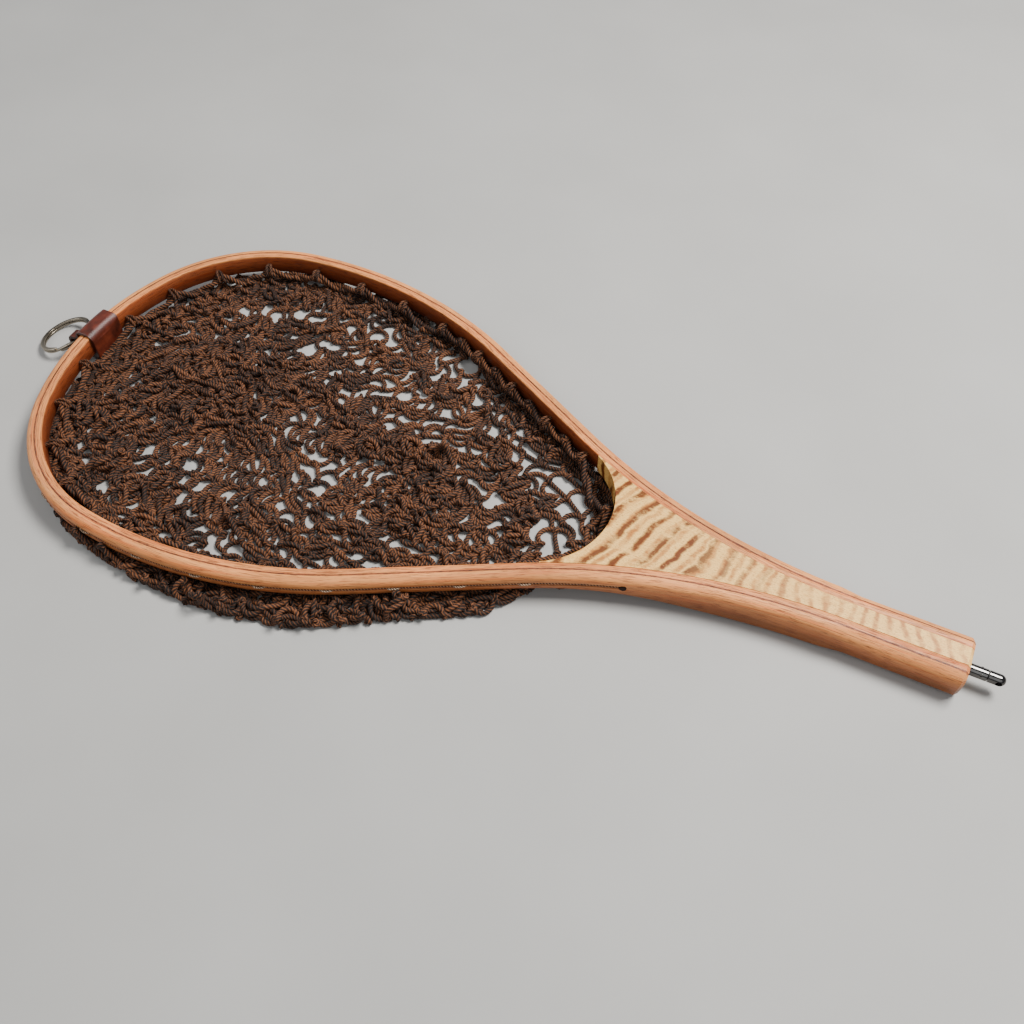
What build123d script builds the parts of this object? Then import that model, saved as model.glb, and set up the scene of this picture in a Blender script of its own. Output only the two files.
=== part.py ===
from build123d import *
import math
import os

os.makedirs("parts", exist_ok=True)

# ---------------------------------------------------------------- driving dimensions (mm)
# Frame: +X runs from the hoop to the handle's butt, +Z is up, the floor is Z = 0.

HALF_LENGTH = 236.8          # half of the length over the split ring and the lanyard eye
TOP = 16.0                   # flat top of the hoop and the handle
HOOP_BOTTOM = 6.0            # underside of the hoop; the handle deepens to the floor
FITTING_LENGTH = 15.0        # steel lanyard fitting beyond the butt
BUTT_X = HALF_LENGTH - FITTING_LENGTH

# outline of the hoop's opening: arcs from the tip, then a straight, then the throat's hollow arc
OPENING_TIP_X = -200.6
TIP_RADIUS, TIP_TURN = 120.0, 22.0
SHOULDER_RADIUS, SHOULDER_TURN = 73.0, 60.5
FLANK_RADIUS, FLANK_TURN = 193.0, 35.5
FLANK_STRAIGHT = 68.2
THROAT_RADIUS, THROAT_TURN = 281.0, 28.0

# plies of the bent lamination, as distances outwards from the opening
INNER_PLY, MIDDLE_PLY, OUTER_PLY = 2.8, 0.7, 3.9
LAMINATION = INNER_PLY + MIDDLE_PLY + OUTER_PLY
EDGE_ROUND_TOP, EDGE_ROUND_BOTTOM = 3.4, 2.6

# handle
CORE_END_X = 70.6            # deepest point of the hollow end that faces the opening
CORE_END_RADIUS = 36.2
RAMP_START, RAMP_RUN = 54.0, 90.0
BUTT_BEVEL = 1.4
GRIP_START, GRIP_FULL = 105.0, 176.0   # the handle's edges grow rounder between these
GRIP_START_WIDTH = 42.0
GRIP_ROUND_START, GRIP_ROUND = 3.0, 5.6
GRIP_EASE = 0.04             # the rounding is cut this little outside the flat sides
SHAPING_REACH = 300.0        # half size of the blocks that trim the wood

# lacing: a groove round the outer face, a cord in it, and loops through drilled holes
GROOVE_Z = 10.7
GROOVE_WIDTH, GROOVE_DEPTH = 1.6, 1.25
LACING_DIAMETER = 1.2
PEG_TURN = 9.5               # degrees along the throat arc from its start to the peg
PEG_RADIUS, PEG_HOLE_RADIUS, PEG_DEPTH = 1.5, 1.6, 3.4
HOLE_COUNT, FIRST_HOLE, HOLE_PITCH = 12, 18.0, 27.0
HOLE_RADIUS = 0.75
LOOP_RADIUS = 1.9

# net bag, collapsed on the floor under and inside the hoop
NET_SPILL = 16.0             # reach of its foot beyond the opening's edge
NET_INSET = 3.5              # the bag's side stands this far inside the opening's edge
NET_WALL = 4.5
NET_FOOT_TOP, NET_RIM_TOP, NET_FLOOR = 5.4, 8.0, 3.6
NET_THROAT_X = 57.0          # the bag's end in the throat
FOOT_TIP_X, FOOT_HALF_WIDTH = -193.0, 150.0
PILE_TIP_X, PILE_HALF_WIDTH = -209.0, 250.0

# split ring, hinged on the leather keeper at the tip
RING_DROOP = 17.0
RING_OUTER_RADIUS, RING_WIRE, RING_THICKNESS = 13.4, 2.0, 1.9
RING_GROOVE = 0.25
RING_MID_RADIUS = RING_OUTER_RADIUS - RING_WIRE / 2
RING_Y = -1.8
RING_AXIS_Z = 8.7
RING_REACH = math.cos(math.radians(RING_DROOP)) * (RING_MID_RADIUS + RING_OUTER_RADIUS)
RING_AXIS_X = -HALF_LENGTH + RING_REACH + RING_THICKNESS / 2 * math.sin(math.radians(RING_DROOP))

# leather keeper
LEATHER = 1.8
KEEPER_LOW_Y, KEEPER_HIGH_Y = -7.0, 12.2
KEEPER_GAP = 0.15
EAR_HIGH_Y = -1.8
EAR_HOLE_RADIUS = 2.5
NOTCH_RADIUS, NOTCH_Y = 4.3, 2.6
STITCH_COUNT, STITCH_PITCH = 5, 3.4
STITCH_RADIUS, STITCH_LENGTH = 0.35, 2.4

# lanyard fitting in the butt
FITTING_Z = 8.0
BARREL_RADIUS, BARREL_LENGTH = 2.45, 8.0
STUD_RADIUS, STUD_LENGTH = 2.0, 14.0
INSERT_RADIUS, INSERT_LENGTH = 3.6, 16.0
SHANK_RADIUS, SHANK_BORE, SHANK_LENGTH = 1.45, 1.5, 5.4
SWIVEL_GAP = 0.3
EYE_HOLE_RADIUS = 1.3
NECK_RADIUS, NECK_WIDTH = 0.75, 1.2
PIN_RADIUS, PIN_OFFSET = 0.45, 1.25
PIN_X = BUTT_X + BARREL_LENGTH - 2.6


# ---------------------------------------------------------------- shared outlines
def half_outline(offset=0.0, throat_turn=THROAT_TURN):
    """The +Y side of the opening's outline, moved outwards, from the tip into the throat."""
    tip = JernArc((OPENING_TIP_X - offset, 0), (0, 1), TIP_RADIUS + offset, -TIP_TURN)
    shoulder = JernArc(tip @ 1, tip % 1, SHOULDER_RADIUS + offset, -SHOULDER_TURN)
    flank = JernArc(shoulder @ 1, shoulder % 1, FLANK_RADIUS + offset, -FLANK_TURN)
    straight = Line(flank @ 1, flank @ 1 + (flank % 1) * FLANK_STRAIGHT)
    throat = JernArc(straight @ 1, straight % 1, THROAT_RADIUS - offset, throat_turn)
    return [tip, shoulder, flank, straight, throat]


def lamination_face(inner_offset, outer_offset):
    """The plan of one ply: round the hoop and down both sides of the handle."""
    with BuildSketch() as plan:
        with BuildLine():
            inner = half_outline(inner_offset)
            inner_side = Line(inner[-1] @ 1, (BUTT_X, (inner[-1] @ 1).Y))
            outer = half_outline(outer_offset)
            outer_side = Line(outer[-1] @ 1, (BUTT_X, (outer[-1] @ 1).Y))
            Line(inner_side @ 1, outer_side @ 1)
            Line(inner[0] @ 0, outer[0] @ 0)
        make_face()
        mirror(about=Plane.XZ)
    return plan.sketch


def opening_face(offset):
    """The opening's plan grown by offset, closed straight across the throat at the pegs."""
    with BuildSketch() as plan:
        with BuildLine():
            side = half_outline(offset, PEG_TURN)
            end = Line(side[-1] @ 1, ((side[-1] @ 1).X, 0))
            Line(end @ 1, side[0] @ 0)
        make_face()
        mirror(about=Plane.XZ)
    return plan.sketch


def lies_on(edge, outline):
    """True for an edge that runs along an outline, or its mirror image, in plan."""
    middle = edge @ 0.5
    level = abs((edge % 0.5).Z) < 0.5
    return level and outline.distance_to(Vector(middle.X, abs(middle.Y), 0)) < 0.01


hoop_side = half_outline(LAMINATION)
BUTT_HALF_WIDTH = (hoop_side[-1] @ 1).Y
outer_side = Wire(hoop_side + [Line(hoop_side[-1] @ 1, (BUTT_X, BUTT_HALF_WIDTH))])

# radial planes of the lacing holes: Z of each plane points out of the hoop
hole_planes = []
opening_edge = Wire(half_outline())
for number in range(HOLE_COUNT):
    distance = FIRST_HOLE + number * HOLE_PITCH
    spot = opening_edge.position_at(distance, position_mode=PositionMode.LENGTH)
    along = opening_edge.tangent_at(distance, position_mode=PositionMode.LENGTH)
    for side in (1, -1):
        origin = (spot.X, side * spot.Y, GROOVE_Z)
        hole_planes.append(Plane(origin=origin, x_dir=(0, 0, 1), z_dir=(-along.Y, side * along.X, 0)))

peg_planes = []
peg_arc = half_outline(LAMINATION, PEG_TURN)[-1]
for side in (1, -1):
    spot = peg_arc @ 1
    along = peg_arc % 1
    origin = (spot.X, side * spot.Y, GROOVE_Z)
    peg_planes.append(Plane(origin=origin, x_dir=(0, 0, 1), z_dir=(-along.Y, side * along.X, 0)))

# ---------------------------------------------------------------- shaping blocks for the wood
ramp_drop = HOOP_BOTTOM
ramp_turn = 2 * math.degrees(math.atan(ramp_drop / RAMP_RUN))
ramp_radius = RAMP_RUN / 2 / math.sin(math.radians(ramp_turn))

with BuildPart() as underside:
    with BuildSketch(Plane.XZ):
        with BuildLine():
            level = Line((-SHAPING_REACH, HOOP_BOTTOM), (RAMP_START, HOOP_BOTTOM))
            down = JernArc(level @ 1, level % 1, ramp_radius, -ramp_turn)
            up = JernArc(down @ 1, down % 1, ramp_radius, ramp_turn)
            Polyline(up @ 1, ((up @ 1).X, -TOP), (-SHAPING_REACH, -TOP), level @ 0)
        make_face()
    extrude(amount=SHAPING_REACH, both=True)

with BuildPart() as grip:
    with BuildSketch(Plane.YZ.offset(GRIP_START)):
        with Locations((0, TOP / 2)):
            RectangleRounded(GRIP_START_WIDTH, TOP + 2 * GRIP_EASE, GRIP_ROUND_START)
    with BuildSketch(Plane.YZ.offset(GRIP_FULL)):
        with Locations((0, TOP / 2)):
            RectangleRounded(2 * BUTT_HALF_WIDTH + 2 * GRIP_EASE, TOP + 2 * GRIP_EASE, GRIP_ROUND)
    loft()

with BuildPart() as butt:
    with BuildSketch(Plane.YZ.offset(GRIP_FULL)):
        with Locations((0, TOP / 2)):
            RectangleRounded(2 * BUTT_HALF_WIDTH + 2 * GRIP_EASE, TOP + 2 * GRIP_EASE, GRIP_ROUND)
    extrude(amount=BUTT_X - GRIP_FULL)
    chamfer(faces().sort_by(Axis.X)[-1].edges(), BUTT_BEVEL)

with BuildPart() as envelope:
    with Locations((GRIP_START - SHAPING_REACH, 0, 0)):
        Box(2 * SHAPING_REACH, SHAPING_REACH, SHAPING_REACH)
    add(grip.part)
    add(butt.part)

# ---------------------------------------------------------------- hoop and handle
with BuildPart() as hoop_inner_ply:
    with BuildSketch():
        add(lamination_face(0, INNER_PLY))
    extrude(amount=TOP)
    add(underside.part, mode=Mode.SUBTRACT)
    add(envelope.part, mode=Mode.INTERSECT)
    with Locations(*hole_planes):
        Cylinder(HOLE_RADIUS, 3 * LAMINATION, mode=Mode.SUBTRACT)
hoop_inner_ply.part.label = "hoop_inner_ply"
export_step(hoop_inner_ply.part, "parts/hoop_inner_ply.step")

with BuildPart() as hoop_middle_ply:
    with BuildSketch():
        add(lamination_face(INNER_PLY, INNER_PLY + MIDDLE_PLY))
    extrude(amount=TOP)
    add(underside.part, mode=Mode.SUBTRACT)
    add(envelope.part, mode=Mode.INTERSECT)
    with Locations(*hole_planes):
        Cylinder(HOLE_RADIUS, 3 * LAMINATION, mode=Mode.SUBTRACT)
hoop_middle_ply.part.label = "hoop_middle_ply"
export_step(hoop_middle_ply.part, "parts/hoop_middle_ply.step")

with BuildPart() as groove:
    with BuildSketch(Plane.XY.offset(GROOVE_Z - GROOVE_WIDTH / 2)):
        with BuildLine():
            floor_side = half_outline(LAMINATION - GROOVE_DEPTH, PEG_TURN)
            open_side = half_outline(LAMINATION + GROOVE_DEPTH, PEG_TURN)
            Line(floor_side[-1] @ 1, open_side[-1] @ 1)
            Line(floor_side[0] @ 0, open_side[0] @ 0)
        make_face()
        mirror(about=Plane.XZ)
    extrude(amount=GROOVE_WIDTH)

with BuildPart() as hoop_outer_ply:
    with BuildSketch():
        add(lamination_face(INNER_PLY + MIDDLE_PLY, LAMINATION))
    extrude(amount=TOP)
    add(underside.part, mode=Mode.SUBTRACT)
    rim = edges().filter_by(lambda e: lies_on(e, outer_side))
    fillet(rim.filter_by_position(Axis.Z, TOP, TOP), EDGE_ROUND_TOP)
    rim = edges().filter_by(lambda e: lies_on(e, outer_side))
    fillet(rim.filter_by_position(Axis.Z, 0, HOOP_BOTTOM), EDGE_ROUND_BOTTOM)
    add(envelope.part, mode=Mode.INTERSECT)
    add(groove.part, mode=Mode.SUBTRACT)
    with Locations(*hole_planes):
        Cylinder(HOLE_RADIUS, 3 * LAMINATION, mode=Mode.SUBTRACT)
    with Locations(*peg_planes):
        Cylinder(PEG_HOLE_RADIUS, 2 * PEG_DEPTH, mode=Mode.SUBTRACT)
hoop_outer_ply.part.label = "hoop_outer_ply"
export_step(hoop_outer_ply.part, "parts/hoop_outer_ply.step")

with BuildPart() as handle_core:
    with BuildSketch():
        with BuildLine():
            side = half_outline()
            side_end = Line(side[-1] @ 1, (BUTT_X, (side[-1] @ 1).Y))
            Polyline(side_end @ 1, (BUTT_X, 0), side[0] @ 0)
        make_face()
        mirror(about=Plane.XZ)
        with Locations((CORE_END_X - CORE_END_RADIUS, 0)):
            Circle(CORE_END_RADIUS, mode=Mode.SUBTRACT)
        with Locations((CORE_END_X - CORE_END_RADIUS / 2 - SHAPING_REACH, 0)):
            Rectangle(2 * SHAPING_REACH, SHAPING_REACH, mode=Mode.SUBTRACT)
    extrude(amount=TOP)
    add(underside.part, mode=Mode.SUBTRACT)
    add(envelope.part, mode=Mode.INTERSECT)
    with BuildSketch(Plane.YZ.offset(BUTT_X)):
        with Locations((0, FITTING_Z)):
            Circle(INSERT_RADIUS)
    extrude(amount=-INSERT_LENGTH, mode=Mode.SUBTRACT)
handle_core.part.label = "handle_core"
export_step(handle_core.part, "parts/handle_core.step")

# ---------------------------------------------------------------- lacing
cord_offset = LAMINATION - LACING_DIAMETER / 2
peg_arc_radius = THROAT_RADIUS - cord_offset
cord_turn = PEG_TURN - math.degrees((PEG_HOLE_RADIUS + 0.1) / peg_arc_radius)

with BuildPart() as lacing_cord:
    with BuildLine(Plane.XY.offset(GROOVE_Z)) as lacing_path:
        half_outline(cord_offset, cord_turn)
        mirror(about=Plane.XZ)
    lacing_run = lacing_path.wire()
    with BuildSketch(Plane(origin=lacing_run @ 0, z_dir=lacing_run % 0)):
        Circle(LACING_DIAMETER / 2)
    sweep(path=lacing_run)
lacing_cord.part.label = "lacing_cord"
export_step(lacing_cord.part, "parts/lacing_cord.step")

loop_reach = LAMINATION - LACING_DIAMETER - 0.1   # outer end of a loop, just inside the lacing
loop_tail = 1.2                                   # straight cord inside the hoop before the loop
with BuildPart() as lacing_loops:
    for plane in hole_planes:
        middle = plane.offset((loop_reach - loop_tail) / 2)
        with Locations(middle):
            Cylinder(LACING_DIAMETER / 2, loop_reach + loop_tail)
        ring_centre = plane.origin - plane.z_dir * (loop_tail + LOOP_RADIUS)
        with Locations(Plane(origin=ring_centre, x_dir=(0, 0, 1), z_dir=plane.y_dir)):
            Torus(LOOP_RADIUS, LACING_DIAMETER / 2)
lacing_loops.part.label = "lacing_loops"
export_step(lacing_loops.part, "parts/lacing_loops.step")

with BuildPart() as lacing_pegs:
    for plane in peg_planes:
        with Locations(plane.offset(-PEG_DEPTH / 2 - 0.2)):
            Cylinder(PEG_RADIUS, PEG_DEPTH - 0.4)
    chamfer(edges().filter_by(GeomType.CIRCLE), 0.25)
lacing_pegs.part.label = "lacing_pegs"
export_step(lacing_pegs.part, "parts/lacing_pegs.step")

# ---------------------------------------------------------------- net bag
def net_face(offset, tip_x, throat_x, half_width):
    """The opening's plan moved by offset, with its ends rounded off by an ellipse."""
    with BuildSketch() as plan:
        add(opening_face(offset))
        with Locations(((tip_x + throat_x) / 2, 0)):
            Ellipse((throat_x - tip_x) / 2, half_width, mode=Mode.INTERSECT)
    return plan.sketch


foot_plan = net_face(NET_SPILL, FOOT_TIP_X, NET_THROAT_X, FOOT_HALF_WIDTH)
pile_plan = net_face(-NET_INSET, PILE_TIP_X, NET_THROAT_X, PILE_HALF_WIDTH)
hollow_plan = net_face(-NET_INSET - NET_WALL, PILE_TIP_X, NET_THROAT_X - NET_WALL, PILE_HALF_WIDTH)

# the bag's belly, flat on the floor
with BuildPart() as net_bag:
    with BuildSketch():
        add(foot_plan)
        add(pile_plan)
    extrude(amount=NET_FLOOR)
net_bag.part.label = "net_bag"
export_step(net_bag.part, "parts/net_bag.step")

# the bag's side, heaped round the belly
with BuildPart() as net_side:
    with BuildSketch(Plane.XY.offset(NET_FLOOR)):
        add(foot_plan)
    extrude(amount=NET_FOOT_TOP - NET_FLOOR)
    with BuildSketch(Plane.XY.offset(NET_FLOOR)):
        add(pile_plan)
    extrude(amount=NET_RIM_TOP - NET_FLOOR)
    with BuildSketch(Plane.XY.offset(NET_FLOOR)):
        add(hollow_plan)
    extrude(amount=NET_RIM_TOP, mode=Mode.SUBTRACT)
net_side.part.label = "net_side"
export_step(net_side.part, "parts/net_side.step")

# ---------------------------------------------------------------- leather keeper and split ring
keeper_low_x = OPENING_TIP_X - LAMINATION - LEATHER
keeper_high_x = OPENING_TIP_X + LEATHER + 0.4
keeper_top = TOP + LEATHER
keeper_bottom = HOOP_BOTTOM - 2 * LEATHER

with BuildPart() as hoop_clearance:
    with BuildSketch(Plane.XY.offset(HOOP_BOTTOM - KEEPER_GAP)):
        with BuildLine():
            near_side = half_outline(-KEEPER_GAP)
            far_side = half_outline(LAMINATION + KEEPER_GAP)
            Line(near_side[0] @ 0, far_side[0] @ 0)
            Line(near_side[-1] @ 1, far_side[-1] @ 1)
        make_face()
        mirror(about=Plane.XZ)
    extrude(amount=TOP - HOOP_BOTTOM + 2 * KEEPER_GAP)

stitch_first_y = (KEEPER_LOW_Y + KEEPER_HIGH_Y - (STITCH_COUNT - 1) * STITCH_PITCH) / 2
stitch_spots = []
for number in range(STITCH_COUNT):
    stitch_y = stitch_first_y + number * STITCH_PITCH
    stitch_spots.append((OPENING_TIP_X - LAMINATION / 2, stitch_y, keeper_bottom + 0.05))

ear_radius = EAR_HOLE_RADIUS + LEATHER
with BuildPart() as leather_keeper:
    with BuildSketch(Plane.XZ.offset(-KEEPER_HIGH_Y)):
        with Locations(((keeper_low_x + keeper_high_x) / 2, (keeper_top + keeper_bottom) / 2)):
            RectangleRounded(keeper_high_x - keeper_low_x, keeper_top - keeper_bottom, LEATHER)
    extrude(amount=KEEPER_HIGH_Y - KEEPER_LOW_Y)
    with BuildSketch(Plane.XZ.offset(-EAR_HIGH_Y)):
        with Locations((RING_AXIS_X, RING_AXIS_Z)):
            Circle(ear_radius)
        with Locations((keeper_low_x + LEATHER, (keeper_top + keeper_bottom) / 2)):
            RectangleRounded(2 * LEATHER, keeper_top - keeper_bottom, LEATHER - 0.01)
        make_hull()
    extrude(amount=EAR_HIGH_Y - KEEPER_LOW_Y)
    add(hoop_clearance.part, mode=Mode.SUBTRACT)
    with Locations((RING_AXIS_X, (KEEPER_LOW_Y + EAR_HIGH_Y) / 2, RING_AXIS_Z)):
        Cylinder(EAR_HOLE_RADIUS, 2 * (EAR_HIGH_Y - KEEPER_LOW_Y), rotation=(90, 0, 0), mode=Mode.SUBTRACT)
    with Locations((RING_AXIS_X - 0.4, NOTCH_Y, TOP)):
        Cylinder(NOTCH_RADIUS, 4 * TOP, mode=Mode.SUBTRACT)
    with Locations(*stitch_spots):
        Cylinder(STITCH_RADIUS + 0.02, STITCH_LENGTH + 0.04, rotation=(90, 0, 0), mode=Mode.SUBTRACT)
leather_keeper.part.label = "leather_keeper"
export_step(leather_keeper.part, "parts/leather_keeper.step")

with BuildPart() as keeper_stitches:
    with Locations(*stitch_spots):
        Cylinder(STITCH_RADIUS, STITCH_LENGTH, rotation=(90, 0, 0))
keeper_stitches.part.label = "keeper_stitches"
export_step(keeper_stitches.part, "parts/keeper_stitches.step")

# the ring's own frame: X runs from the hinge axis to the ring's centre, Z is its axle
droop = math.radians(RING_DROOP)
ring_out = Vector(-math.cos(droop), 0, -math.sin(droop))
ring_up = Vector(-math.sin(droop), 0, math.cos(droop))
ring_centre = Vector(RING_AXIS_X, RING_Y, RING_AXIS_Z) + ring_out * RING_MID_RADIUS
with BuildPart() as split_ring:
    with BuildSketch(Plane(origin=ring_centre, x_dir=ring_out, z_dir=ring_out.cross(ring_up))):
        with Locations((RING_MID_RADIUS, 0)):
            RectangleRounded(RING_WIRE, RING_THICKNESS, 0.4)
        with Locations((RING_OUTER_RADIUS, 0), (RING_OUTER_RADIUS - RING_WIRE, 0)):
            RegularPolygon(RING_GROOVE, 4, mode=Mode.SUBTRACT)
    revolve(axis=Axis(ring_centre, ring_up))
split_ring.part.label = "split_ring"
export_step(split_ring.part, "parts/split_ring.step")

# ---------------------------------------------------------------- lanyard fitting
fitting_axis = Plane(origin=(BUTT_X, 0, FITTING_Z), x_dir=(0, 1, 0), z_dir=(1, 0, 0))

with BuildPart() as butt_insert:
    with BuildSketch(fitting_axis.offset(-INSERT_LENGTH)):
        Circle(INSERT_RADIUS)
        Circle(STUD_RADIUS, mode=Mode.SUBTRACT)
    extrude(amount=INSERT_LENGTH)
butt_insert.part.label = "butt_insert"
export_step(butt_insert.part, "parts/butt_insert.step")

with BuildPart() as swivel_barrel:
    with BuildSketch(fitting_axis.offset(-STUD_LENGTH)):
        Circle(STUD_RADIUS)
    extrude(amount=STUD_LENGTH)
    with BuildSketch(fitting_axis):
        Circle(BARREL_RADIUS)
    extrude(amount=BARREL_LENGTH)
    chamfer(faces().sort_by(Axis.X)[-1].edges(), 0.25)
    with BuildSketch(fitting_axis.offset(BARREL_LENGTH)):
        Circle(SHANK_BORE)
    extrude(amount=-SHANK_LENGTH - SWIVEL_GAP, mode=Mode.SUBTRACT)
    with Locations((PIN_X, 0, FITTING_Z + PIN_OFFSET)):
        Cylinder(PIN_RADIUS, 4 * BARREL_RADIUS, rotation=(90, 0, 0), mode=Mode.SUBTRACT)
swivel_barrel.part.label = "swivel_barrel"
export_step(swivel_barrel.part, "parts/swivel_barrel.step")

eye_low_x = BUTT_X + BARREL_LENGTH + SWIVEL_GAP
eye_centre_x = HALF_LENGTH - BARREL_RADIUS
with BuildPart() as swivel_eye:
    with BuildSketch(fitting_axis.offset(BARREL_LENGTH - SHANK_LENGTH)):
        Circle(SHANK_RADIUS)
    extrude(amount=SHANK_LENGTH + SWIVEL_GAP)
    with BuildSketch(fitting_axis.offset(eye_low_x - BUTT_X)):
        Circle(BARREL_RADIUS)
    extrude(amount=eye_centre_x - eye_low_x)
    with Locations((eye_centre_x, 0, FITTING_Z)):
        Sphere(BARREL_RADIUS)
    with Locations((PIN_X, 0, FITTING_Z)):
        with Locations(Plane.YZ):
            Cylinder(2 * SHANK_RADIUS, NECK_WIDTH, mode=Mode.SUBTRACT)
            Cylinder(NECK_RADIUS, NECK_WIDTH)
    with Locations((eye_centre_x, 0, FITTING_Z)):
        Cylinder(EYE_HOLE_RADIUS, 3 * BARREL_RADIUS, rotation=(90, 0, 0), mode=Mode.SUBTRACT)
swivel_eye.part.label = "swivel_eye"
export_step(swivel_eye.part, "parts/swivel_eye.step")

with BuildPart() as swivel_pin:
    with Locations((PIN_X, 0, FITTING_Z + PIN_OFFSET)):
        Cylinder(PIN_RADIUS, 2 * BARREL_RADIUS - 0.8, rotation=(90, 0, 0))
swivel_pin.part.label = "swivel_pin"
export_step(swivel_pin.part, "parts/swivel_pin.step")
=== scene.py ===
import math

import bpy
import numpy as np
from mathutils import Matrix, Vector


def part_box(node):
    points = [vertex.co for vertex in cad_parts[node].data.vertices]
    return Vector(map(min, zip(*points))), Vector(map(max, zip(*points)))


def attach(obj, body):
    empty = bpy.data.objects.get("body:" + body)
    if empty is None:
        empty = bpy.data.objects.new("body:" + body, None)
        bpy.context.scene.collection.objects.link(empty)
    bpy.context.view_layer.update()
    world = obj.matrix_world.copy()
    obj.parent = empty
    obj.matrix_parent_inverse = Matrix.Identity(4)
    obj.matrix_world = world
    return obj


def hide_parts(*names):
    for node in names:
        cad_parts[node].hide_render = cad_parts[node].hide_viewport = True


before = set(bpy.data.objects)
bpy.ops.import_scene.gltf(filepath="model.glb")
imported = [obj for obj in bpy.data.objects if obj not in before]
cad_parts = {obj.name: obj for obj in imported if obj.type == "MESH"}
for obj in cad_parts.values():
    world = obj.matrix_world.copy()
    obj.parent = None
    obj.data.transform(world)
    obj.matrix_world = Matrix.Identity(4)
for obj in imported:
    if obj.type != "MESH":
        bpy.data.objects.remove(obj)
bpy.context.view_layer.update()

MM = 0.001

# ---- shared outline (mm)
TOP, HOOP_BOTTOM, BUTT_X = 16.0, 6.0, 221.8
TIP_X = -200.6
INNER_OUT, MIDDLE_OUT, LAMINATION = 2.8, 3.5, 7.4     # outer faces of the three plies
CORE_END_X, CORE_END_RADIUS = 70.6, 36.2
RAMP_START, RAMP_RUN = 54.0, 90.0
GROOVE_Z, GROOVE_WIDTH, GROOVE_DEPTH = 10.7, 1.6, 1.25
GRIP_START, GRIP_FULL, GRIP_START_HALF = 105.0, 176.0, 21.0
GRIP_ROUND_START, GRIP_ROUND, BUTT_BEVEL = 3.0, 5.6, 1.4
# the opening's edge from the tip on: radius and turn in degrees, or length and 0
ARCS = [(120.0, -22.0), (73.0, -60.5), (193.0, -35.5), (68.2, 0.0), (281.0, 28.0)]
FIRST_HOLE, HOLE_PITCH, HOLE_COUNT = 18.0, 27.0, 12
HOLE_S = [FIRST_HOLE + HOLE_PITCH * k for k in range(HOLE_COUNT)]
# the lacing ends 9.5 degrees into the last arc; the first four are 46.08 to 68.2 long
PEG_S = 46.08 + 77.08 + 119.58 + 68.2 + 281.0 * math.radians(9.5)


def half_line(step):
    """Rows of x, y, heading and distance along the +Y side of the opening and the handle, from the tip."""
    rows = [(TIP_X, 0.0, math.pi / 2, 0.0)]
    for radius, turn in ARCS:
        length = radius if turn == 0 else radius * math.radians(abs(turn))
        count = max(1, math.ceil(length / step))
        x, y, heading, s = rows[-1]
        for k in range(1, count + 1):
            run = length * k / count
            if turn == 0:
                rows.append((x + run * math.cos(heading), y + run * math.sin(heading), heading, s + run))
                continue
            side = math.copysign(1.0, turn)
            angle = side * run / radius
            cx = x - side * radius * math.sin(heading)
            cy = y + side * radius * math.cos(heading)
            rows.append((cx + side * radius * math.sin(heading + angle),
                         cy - side * radius * math.cos(heading + angle), heading + angle, s + run))
    x, y, heading, s = rows[-1]
    straight = BUTT_X - BUTT_BEVEL - x
    count = math.ceil(straight / step)
    for k in range(1, count + 1):
        run = straight * k / count
        rows.append((x + run, y, heading, s + run))
    rows.append((BUTT_X, y, heading, s + BUTT_X - x))
    return np.array(rows)


LINE = half_line(1.0)


def at(s, offset=0.0, side=1):
    """Points at distances s along the opening's edge, moved outwards, with their outward normals."""
    s = np.asarray(s, float)
    x = np.interp(s, LINE[:, 3], LINE[:, 0])
    y = np.interp(s, LINE[:, 3], LINE[:, 1])
    h = np.interp(s, LINE[:, 3], LINE[:, 2])
    n = np.stack([-np.sin(h), np.cos(h) * side], -1)
    return np.stack([x, y * side], -1) + n * np.asarray(offset)[..., None], n


def underside(x):
    """Height of the wood's underside: level at the hoop, then an S down to the floor."""
    turn = 2 * math.atan(HOOP_BOTTOM / RAMP_RUN)
    radius = RAMP_RUN / 2 / math.sin(turn)
    u = np.clip((np.asarray(x, float) - RAMP_START) / RAMP_RUN, 0, 1) * RAMP_RUN
    first = HOOP_BOTTOM - (radius - np.sqrt(np.maximum(radius ** 2 - u ** 2, 0)))
    v = RAMP_RUN - u
    second = radius - np.sqrt(np.maximum(radius ** 2 - v ** 2, 0))
    return np.where(u < RAMP_RUN / 2, first, second)


# ---- mesh helpers
def new_object(name, data):
    obj = bpy.data.objects.new(name, data)
    bpy.context.scene.collection.objects.link(obj)
    return obj


def new_mesh(name, co, quads, caps, attributes=None):
    """An object in metres from points in mm, quads and end polygons, with attributes on its points."""
    mesh = bpy.data.meshes.new(name)
    co = np.asarray(co, np.float64).reshape(-1, 3) * MM
    quads = np.asarray(quads, np.int32).reshape(-1, 4)
    caps = [np.asarray(c, np.int32) for c in caps]
    loops = np.concatenate([quads.ravel()] + [c.ravel() for c in caps])
    totals = [4] * len(quads)
    for c in caps:
        totals += [c.shape[1]] * len(c)
    totals = np.array(totals, np.int32)
    starts = np.concatenate([[0], np.cumsum(totals)[:-1]]).astype(np.int32)
    mesh.vertices.add(len(co))
    mesh.vertices.foreach_set("co", co.ravel().astype(np.float32))
    mesh.loops.add(len(loops))
    mesh.loops.foreach_set("vertex_index", loops)
    mesh.polygons.add(len(totals))
    mesh.polygons.foreach_set("loop_start", starts)
    mesh.polygons.foreach_set("use_smooth", np.ones(len(totals), bool))
    mesh.update(calc_edges=True)
    for key, values in (attributes or {}).items():
        layer = mesh.attributes.new(key, "FLOAT", "POINT")
        layer.data.foreach_set("value", np.asarray(values, np.float32).ravel())
    mesh.validate()
    return new_object(name, mesh)


def unit(v):
    return v / np.maximum(np.linalg.norm(v, axis=-1, keepdims=True), 1e-9)


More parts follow.
